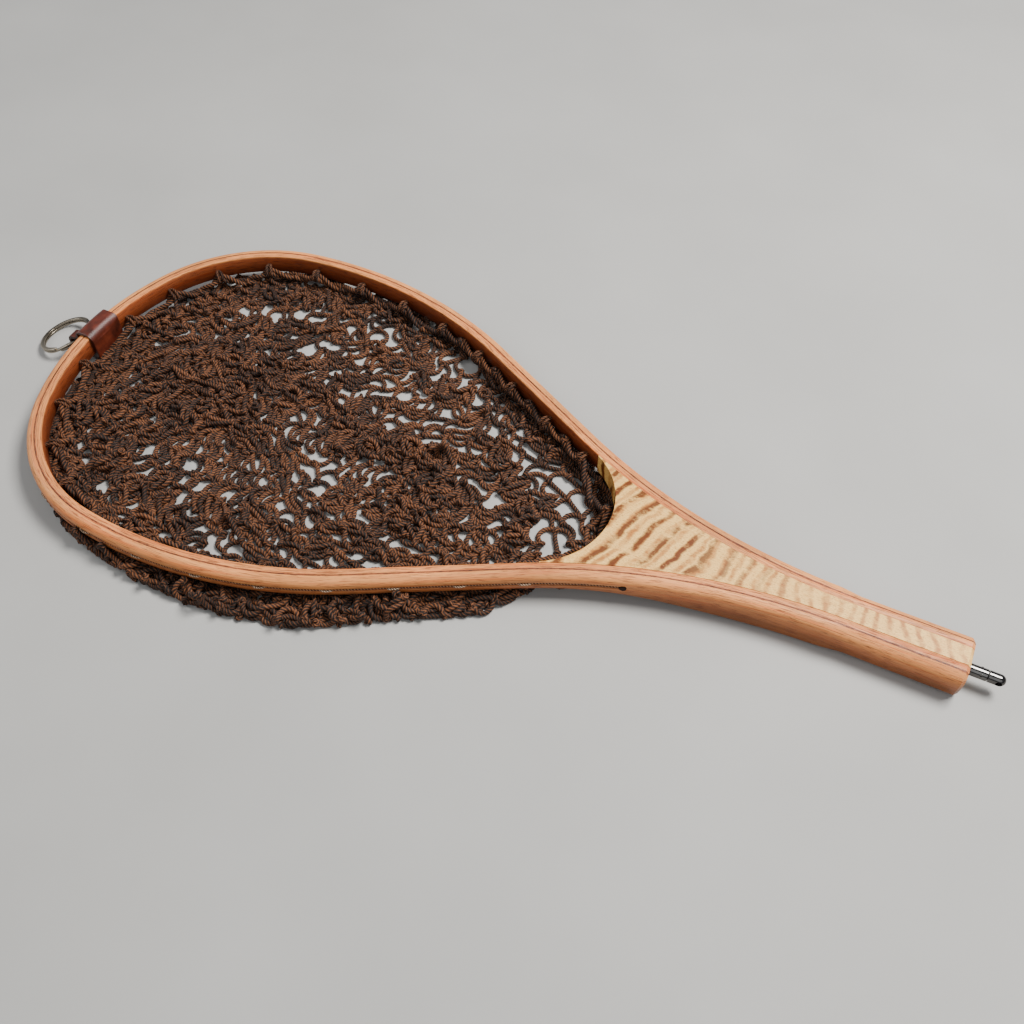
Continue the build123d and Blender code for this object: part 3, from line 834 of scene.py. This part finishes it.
def sweep_ply(name, section, material, node):
    """A ply swept round the hoop and down both sides of the handle, for the CAD's node.

    section(s, x) gives rows of offset and height at distance s from the tip.
    """
    fine = half_line(2.2)
    stations = np.concatenate([fine[::-1], fine[1:]])
    side = np.concatenate([-np.ones(len(fine)), np.ones(len(fine) - 1)])
    s = stations[:, 3]
    rows = np.stack([section(si, xi) for si, xi in zip(s, stations[:, 0])])
    normal = np.stack([-np.sin(stations[:, 2]), np.cos(stations[:, 2]) * side], -1)
    base = np.stack([stations[:, 0], stations[:, 1] * side], -1)
    xy = base[:, None] + normal[:, None] * rows[:, :, :1]
    co = np.concatenate([xy, rows[:, :, 1:2]], -1)
    co = inside_grip(co, abs(float(fine[-1, 1])) + LAMINATION)
    m, k = rows.shape[:2]
    index = np.arange(m * k).reshape(m, k)
    along = np.repeat((s * side)[:, None], k, 1)
    obj = new_mesh(name, co, tube_quads(index)[:, ::-1], [index[:1, :], index[-1:, ::-1]],
                   {"along": along, "across": rows[..., 0], "height": rows[..., 1]})
    split = obj.modifiers.new("corners", "EDGE_SPLIT")
    split.split_angle = math.radians(38)
    finish_piece(apply_modifiers(obj), material, replaced=[node])


def corner(cx, cz, radius, start, end, count):
    """Points on an arc, its angles given in degrees."""
    angle = np.linspace(math.radians(start), math.radians(end), count)
    return [(cx + radius * math.cos(a), cz + radius * math.sin(a)) for a in angle]


def inner_side(low, ease, z0):
    """The left side of a section, from the bottom up."""
    return (corner(low + ease, z0 + ease, ease, 270, 180, 3)
            + corner(low + ease, TOP - ease, ease, 180, 90, 3))


def box_section(low, high, ease_low, ease_high):
    """A ply with square sides, each with its own easing."""
    def section(s, x):
        z0 = float(underside(x))
        f = ease_high
        return np.array(inner_side(low, ease_low, z0) + corner(high - f, TOP - f, f, 90, 0, 3)
                        + corner(high - f, z0 + f, f, 360, 270, 3))
    return section


def outer_section(s, x):
    """The outer ply: rounded above and below, with the lacing's groove as far as the pegs."""
    high = LAMINATION
    z0 = float(underside(x))
    points = inner_side(MIDDLE_OUT, 0.05, z0) + corner(high - 3.4, TOP - 3.4, 3.4, 90, 0, 9)
    depth = GROOVE_DEPTH * min(1.0, max(0.0, (PEG_S - s) / 3.0))
    e = 0.25
    z1, z2 = GROOVE_Z + GROOVE_WIDTH / 2, GROOVE_Z - GROOVE_WIDTH / 2
    k = min(1.0, depth / 0.3)
    points += [(high, z1 + e + 0.15), (high - 0.07 * k, z1 + 0.12), (high - e * k, z1 - 0.02)]
    points += [(high - depth * 0.8, z1 - 0.08), (high - depth, z1 - 0.35), (high - depth, z2 + 0.35)]
    points += [(high - depth * 0.8, z2 + 0.08), (high - e * k, z2 + 0.02), (high - 0.07 * k, z2 - 0.12)]
    points += [(high, z2 - e - 0.15)]
    points += corner(high - 2.6, z0 + 2.6, 2.6, 360, 270, 8)
    return np.array(points)


hoop_wood = wood_material("hoop_wood", srgb(255, 172, 100), srgb(242, 130, 66), srgb(124, 54, 30))
inner_wood = wood_material("hoop_wood_inner", srgb(255, 168, 98), srgb(238, 126, 64), srgb(112, 48, 28), 0.03)
veneer = wood_material("dark_veneer", srgb(172, 98, 62), srgb(104, 52, 34), srgb(50, 26, 20), 0.09, 4.0)
middle_section = box_section(INNER_OUT, MIDDLE_OUT, 0.03, 0.03)
sweep_ply("outer_ply", outer_section, hoop_wood, "hoop_outer_ply")
sweep_ply("middle_ply", middle_section, veneer, "hoop_middle_ply")
sweep_ply("inner_ply", box_section(0.0, INNER_OUT, 0.55, 0.03), inner_wood, "hoop_inner_ply")


def repaint(node, material):
    """A piece of the CAD shown as it is, in the given material."""
    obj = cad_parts[node]
    obj.data.materials.clear()
    obj.data.materials.append(material)


repaint("handle_core", core_material())
repaint("butt_insert", metal_material("insert_brass", srgb(196, 156, 92), srgb(120, 88, 48), 0.3))
steel = metal_material("dark_steel", srgb(104, 102, 100), srgb(66, 64, 63), 0.03, 0.08)
for part in ("swivel_barrel", "swivel_eye", "swivel_pin"):
    repaint(part, steel)

# ---- lacing in the groove
s_run = np.arange(-PEG_S + 1.7, PEG_S - 1.6, 0.55)
lace = np.full((len(s_run), 3), GROOVE_Z)
for side, half in ((-1, s_run < 0), (1, s_run >= 0)):
    lace[half, :2] = at(np.abs(s_run[half]), LAMINATION - 0.62, side)[0]
lace[:, 2] += 0.08 * np.sin(s_run * 0.31) + 0.05 * np.sin(s_run * 0.83)
# its colours run from painted shade in the grooves to a painted highlight on the crests
thread = rope_material("lacing_thread", srgb(206, 158, 118), srgb(124, 74, 50), srgb(34, 20, 15), 1.4)
obj = ropes("groove_lacing", lace[None], 0.6, 2.6, 8, lobes=2, depth=0.4)
finish_piece(obj, thread, replaced=["lacing_cord"])


def radial(path, s, side):
    """Points of a path given as rows of (outwards, along the hoop, height), about the hole at distance s."""
    path = np.asarray(path, float)
    spot, normal = at([s], 0.0, side)
    tangent = np.array([normal[0, 1], -normal[0, 0]]) * side
    xy = spot[0] + path[:, :1] * normal[0] + path[:, 1:2] * tangent
    return np.concatenate([xy, path[:, 2:]], 1)


# a dark plug's face at each end of the groove: rings as radius and height over the wood
RINGS = ((0.5, 0.3), (0.95, 0.28), (1.3, 0.24), (1.6, 0.12), (1.8, -0.2))
turn = np.linspace(0, 2 * math.pi, 29)[:-1]
plugs, plug_quads, plug_caps = [], [], []
for side in (1, -1):
    index = np.arange(len(RINGS) * len(turn)).reshape(len(RINGS), len(turn)) + len(plugs) * len(turn)
    for r, rise in RINGS:
        ragged = r * (1 + 0.05 * np.sin(3 * turn + side) + 0.03 * np.sin(7 * turn))
        path = [LAMINATION + 0 * turn + rise, ragged * np.cos(turn), GROOVE_Z + ragged * np.sin(turn)]
        plugs.append(radial(np.stack(path, -1), PEG_S, side))
    plug_quads.append(tube_quads(index)[:, ::side])
    plug_caps.append(index[:1, ::-side])
obj = new_mesh("lacing_plugs", np.concatenate(plugs), np.concatenate(plug_quads), plug_caps)
plug_look = metal_material("plug_dark", srgb(58, 38, 30), srgb(22, 15, 12), 0.4)
finish_piece(obj, plug_look, replaced=["lacing_pegs"])

# the lacing's turns at the holes
stitches = []
rng = np.random.default_rng(5)
out, middle = LAMINATION, GROOVE_Z
for s in HOLE_S:
    for side in (1, -1):
        lean = rng.uniform(-0.25, 0.25)
        controls = [(out - 2.2, -0.3, middle), (out - 0.5, -0.9, middle + 0.15 + lean),
                    (out + 0.22, -0.2, middle + 0.1), (out + 0.25, 1.2, middle - 0.1 - lean),
                    (out + 0.12, 2.9, middle + 0.05), (out - 0.5, 4.0, middle), (out - 1.0, 4.6, middle)]
        stitches.append(radial(spline_weights(7, 22) @ np.array(controls), s, side))
# its colours run from painted shade in the grooves to a painted highlight on the crests
bone = rope_material("lacing_bone", srgb(226, 206, 180), srgb(170, 140, 112), srgb(70, 48, 36), 1.4)
obj = ropes("hole_stitches", np.array(stitches), 0.42, 2.2, 8, lobes=2, depth=0.3)
finish_piece(obj, bone, replaced=["lacing_loops"])

# ---- net
rng = np.random.default_rng(11)
net = build_net(rng)
simulate(net, 600, 8)
points, chain, kinds = net["points"], net["chain"], net["kinds"]
# its colours run from painted shade in the grooves, nearly black, to a painted highlight on the crests
rope_look = rope_material("net_cord", srgb(130, 80, 47), srgb(60, 34, 20), srgb(15, 8, 5))


def net_cords(name, paths, radius, lay, sides, depth, paler, replaced=()):
    """Net cords, each begun at a random turn and in a random tone from paler up to 1."""
    m = len(paths)
    obj = ropes(name, paths, radius, lay, sides, depth=depth,
                start=rng.uniform(0, 6.28, m), tone=rng.uniform(paler, 1, m))
    finish_piece(obj, rope_look, replaced=replaced)


plain = chain[kinds != 1]
paths = np.einsum("kc,mcd->mkd", spline_weights(INNER + 2, 14), points[plain])
paths[..., 2] = np.maximum(paths[..., 2], ROPE * 0.96)
BAR_GROUPS = 4
for k in range(BAR_GROUPS):
    net_cords(f"net_meshes_{k + 1}", paths[k::BAR_GROUPS], 1.2, 4.8, 9, 0.26, -1,
              ["net_bag", "net_side"] if k == 0 else [])

# the head row: two cords laid together
head_paths = np.einsum("kc,mcd->mkd", spline_weights(INNER + 2, 18), points[chain[kinds == 1]])
side_dir, up_dir = frames(head_paths)
run = running(head_paths)
doubled = []
for half in (0, math.pi):
    phase = (2 * math.pi * run / 21.0 + half)[..., None]
    doubled.append(head_paths + 1.05 * (side_dir * np.cos(phase) + up_dir * np.sin(phase)))
doubled = np.concatenate(doubled)
doubled[..., 2] = np.maximum(doubled[..., 2], 1.28)
net_cords("net_head", doubled, 1.25, 5.2, 12, 0.24, -1)

# knots: a turn and a quarter of cord wrapped round the crossing bars
count = net["knots"]
above = np.zeros((count, 3))
below = np.zeros((count, 3))
np.add.at(below, plain[:, 0], unit(points[plain[:, 1]] - points[plain[:, 0]]))
np.add.at(above, plain[:, -1], unit(points[plain[:, -2]] - points[plain[:, -1]]))
axis = below - above
weak = np.linalg.norm(axis, axis=1) < 0.2
axis[weak] = [0, 0, 1]
axis = unit(axis)
cross = rng.normal(0, 1, axis.shape)
first = unit(cross - (cross * axis).sum(-1, keepdims=True) * axis)
second = np.cross(axis, first)
turns = np.linspace(-0.62, 0.62, 13)
angle = 2 * math.pi * turns
size = rng.uniform(0.95, 1.2, (count, 1))
wrap = (first[:, None] * np.cos(angle)[:, None] + second[:, None] * np.sin(angle)[:, None]) * size[..., None]
wrap = wrap + axis[:, None] * (turns * 2.0)[:, None]
fade = np.clip((np.abs(turns) - 0.45) / 0.2, 0, 1)
wrap = wrap * (1 - 0.45 * fade)[:, None]
knot_paths = points[:count, None] + wrap
knot_paths[..., 2] = np.maximum(knot_paths[..., 2], 1.05)
KNOT_GROUPS = 3
for k in range(KNOT_GROUPS):
    net_cords(f"net_knots_{k + 1}", knot_paths[k::KNOT_GROUPS], 0.95, 4.6, 9, 0.22, -0.6)

# cords from the holes round the head row
hangers = []
for s in HOLE_S:
    for side in (1, -1):
        for shift in (-0.8, 0.8):
            controls = [(2.6, 0, middle), (0.2, shift * 0.4, middle + 0.1), (-1.4, shift, middle + 0.4),
                        (-3.4, shift * 1.3, middle + 0.9), (-5.3, shift * 1.4, 10.0),
                        (-5.4, shift * 1.3, 8.0), (-3.3, shift, 6.9), (-1.5, shift * 0.6, 8.2)]
            hangers.append(radial(spline_weights(8, 26) @ np.array(controls), s, side))
hangers = np.array(hangers)
obj = ropes("net_hangers", hangers, 0.7, 4.4, 9, depth=0.24, tone=rng.uniform(-0.4, 1, len(hangers)))
finish_piece(obj, rope_look)

# ---- leather keeper
TIP_RADIUS, STRAP = ARCS[0][0], 1.95
STRAP_OUT = TIP_RADIUS + LAMINATION + STRAP      # the strap's faces, as distances from the tip arc's centre
STRAP_IN = TIP_RADIUS - STRAP
STRAP_TOP = TOP + STRAP
STRAP_LOW_Y, STRAP_HIGH_Y, EDGE_WIDTH = -0.007, 0.0122, 0.0006     # in metres, like the mesh
keeper = new_object("keeper_leather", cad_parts["leather_keeper"].data.copy())
remesh = keeper.modifiers.new("fine", "REMESH")
remesh.mode = "VOXEL"
remesh.voxel_size = 0.00028
soften = keeper.modifiers.new("soften", "SMOOTH")
soften.factor = 0.5
soften.iterations = 16
apply_modifiers(keeper)
co = np.zeros(len(keeper.data.vertices) * 3, np.float32)
keeper.data.vertices.foreach_get("co", co)
co = co.reshape(-1, 3)
# the strap bends over the wood's two top edges in wide curves
bend_centre = TIP_X + TIP_RADIUS
reach = np.hypot(co[:, 0] / MM - bend_centre, co[:, 1] / MM)
rise = co[:, 2] / MM
for edge_reach, sense, radius in ((STRAP_OUT, 1, 5.2), (STRAP_IN, -1, 4.2)):
    du = (reach - edge_reach) * sense + radius
    dz = rise - (STRAP_TOP - radius)
    far_out = np.hypot(du, dz)
    cut = (du > 0) & (dz > 0) & (far_out > radius)
    new_reach = edge_reach + sense * (du * radius / np.maximum(far_out, 1e-6) - radius)
    scale = np.where(cut, new_reach / reach, 1.0)
    rise = np.where(cut, STRAP_TOP - radius + dz * radius / np.maximum(far_out, 1e-6), rise)
    co[:, 0] = (bend_centre + (co[:, 0] / MM - bend_centre) * scale) * MM
    co[:, 1] *= scale
    reach = reach * scale
co[:, 2] = rise * MM
keeper.data.vertices.foreach_set("co", co.ravel())
keeper.data.update()
normals = np.zeros_like(co).ravel()
keeper.data.vertices.foreach_get("normal", normals)
normals = normals.reshape(-1, 3)
side_edge = np.minimum(np.abs(co[:, 1] - STRAP_LOW_Y), np.abs(co[:, 1] - STRAP_HIGH_Y))
edge = np.clip(1 - side_edge / EDGE_WIDTH, 0, 1) * (np.abs(normals[:, 1]) > 0.45)
keeper.data.attributes.new("edge", "FLOAT", "POINT").data.foreach_set("value", edge.astype(np.float32))
keeper.data.polygons.foreach_set("use_smooth", np.ones(len(keeper.data.polygons), bool))
finish_piece(keeper, leather_material(), replaced=["leather_keeper"])

low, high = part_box("keeper_stitches")
middle_x, middle_z = (low.x + high.x) / 2 / MM, (low.z + high.z) / 2 / MM
STITCHES = 5
stitch_paths = []
t = np.linspace(-1, 1, 9)
for k in range(STITCHES):
    y = (low.y + (high.y - low.y) * (0.5 + k) / STITCHES) / MM
    stitch_paths.append(np.stack([middle_x + 0 * t, y + 1.25 * t, middle_z - 0.25 + 0.5 * t ** 4], -1))
obj = ropes("keeper_thread", np.array(stitch_paths), 0.34, 1.6, 8, depth=0.25)
finish_piece(obj, bone, replaced=["keeper_stitches"])

# ---- split ring: two turns of flattened wire
RING_RADIUS, RING_START, COIL_HALF_GAP = 12.4, 2.1, 0.63
WIRE_HALF, WIRE_LOW = 1.0, 0.56       # half of the wire's width, and of its height
droop = math.radians(17.0)
ring_out = np.array([-math.cos(droop), 0, -math.sin(droop)])
ring_up = np.array([-math.sin(droop), 0, math.cos(droop)])
ring_side = np.cross(ring_up, ring_out)
ring_centre = np.array([-211.850, -1.8, 8.7]) + ring_out * RING_RADIUS
theta = np.linspace(0.0, 4 * math.pi - 0.12, 260) + RING_START
t = theta - RING_START
# the wire steps from the lower turn to the upper one, and thins at its two ends
climb = np.clip((t - (2 * math.pi - 0.45)) / 0.9, 0, 1)
lift = -COIL_HALF_GAP + 2 * COIL_HALF_GAP * climb * climb * (3 - 2 * climb)
ends = np.minimum(1, np.minimum(t, t[-1] - t) / 0.12 + 0.45)
centre_line = (np.cos(theta)[:, None] * ring_out + np.sin(theta)[:, None] * ring_side) * RING_RADIUS
section = []
for a in np.linspace(0, 2 * math.pi, 17)[:-1]:
    c, d = math.cos(a), math.sin(a)
    section.append([math.copysign(abs(c) ** 0.55, c), math.copysign(abs(d) ** 0.55, d)])
section = np.array(section) * (WIRE_HALF, WIRE_LOW)
across = unit(centre_line)[:, None] * (section[:, 0][None, :, None] * ends[:, None, None])
co = (ring_centre + centre_line)[:, None] + across
co = co + ring_up * (lift[:, None, None] + section[:, 1][None, :, None])
index = np.arange(len(theta) * len(section)).reshape(len(theta), len(section))
obj = new_mesh("ring_coils", co, tube_quads(index), [index[:1, ::-1], index[-1:, :]])
nickel = metal_material("ring_steel", srgb(164, 154, 138), srgb(112, 104, 92), 0.2, 0.16)
finish_piece(obj, nickel, body="split_ring", replaced=["split_ring"])

# ---- floor, light, camera
bpy.ops.mesh.primitive_plane_add(size=14.0, location=(0, 0, 0))
floor = bpy.context.object
floor.name = "floor"
material, tree, shader, link = mat("floor_pale", 0.75)
cloud = noise(position(tree), 9.0, 5.0)
link(ramp(cloud, [(0.3, srgb(168, 167, 164)), (0.7, srgb(176, 175, 172))]), "Base Color")
floor.data.materials.append(material)


def lamp(name, size, power, place, aim, colour=(1, 1, 1)):
    data = bpy.data.lights.new(name, "AREA")
    data.shape = "RECTANGLE"
    data.size, data.size_y = size
    data.energy = power
    data.color = colour
    obj = new_object(name, data)
    obj.location = place
    obj.rotation_euler = (Vector(aim) - Vector(place)).to_track_quat("-Z", "Y").to_euler()


lamp("key", (0.5, 0.36), 25.0, (0.45, 0.35, 1.0), (0, 0, 0), (1.0, 0.98, 0.95))
lamp("fill", (1.2, 0.9), 4.0, (0.5, -0.9, 0.9), (0, 0, 0), (0.96, 0.98, 1.0))
lamp("rim", (0.5, 0.5), 3.0, (-0.9, -0.1, 0.6), (-0.1, 0, 0))

world = bpy.context.scene.world = bpy.data.worlds.new("world")
world.use_nodes = True
background = world.node_tree.nodes["Background"]
background.inputs["Color"].default_value = (0.85, 0.88, 0.92, 1)
background.inputs["Strength"].default_value = 0.30

camera_data = bpy.data.cameras.new("camera")
camera = new_object("camera", camera_data)
camera_data.lens = 36.22
camera_data.sensor_width = 36.0
camera_data.clip_start = 0.01
target, distance = Vector((31.37, -13.37, 16.0)) * MM, 438.41
back = Vector((0.26148, -0.54546, 0.79631)).normalized()
camera.location = target + back * distance * MM
camera.rotation_euler = (-back).to_track_quat("-Z", "Y").to_euler()
bpy.context.scene.camera = camera
